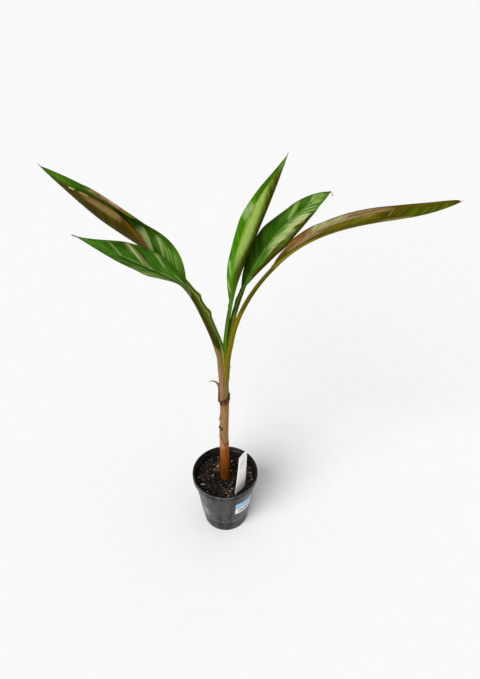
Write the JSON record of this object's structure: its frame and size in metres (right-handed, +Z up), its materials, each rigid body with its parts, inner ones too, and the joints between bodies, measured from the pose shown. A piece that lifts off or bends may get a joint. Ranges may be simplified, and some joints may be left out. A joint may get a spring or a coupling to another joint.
{
  "type": "potted banana plant",
  "caption": "Young variegated banana plant with a slim sheathed stem and fanned, folded leaves in a round black nursery pot with a blank label.",
  "frame": {"origin": "centre of the pot's flat underside", "axes": "+Z up along the stem, -Y towards the front, +X to the right seen from the front"},
  "size_m": [0.5484, 0.1627, 0.6465],
  "materials": {
    "pot": "moulded black plastic with a slight sheen",
    "potting_mix": "dark moist bark and peat",
    "stem": "smooth overlapping sheaths, tan and orange-brown",
    "petiole": "smooth waxy olive green",
    "leaf": "satin green with cream and pink patches",
    "dry_sheath": "dry papery brown",
    "label": "white plastic, slightly soiled"
  },
  "bodies": {
    "root": {"pot": "pot", "potting_mix": "potting_mix", "pseudostem": "stem", "petiole_right": "petiole", "petiole_centre": "petiole", "petiole_back": "petiole", "petiole_upper_left": "petiole", "petiole_lower_left": "petiole", "blade_right": "leaf", "blade_centre": "leaf", "blade_back": "leaf", "blade_upper_left": "leaf", "blade_lower_left": "leaf", "dried_sheath": "dry_sheath", "plant_label": "label"}
  },
  "joints": []
}
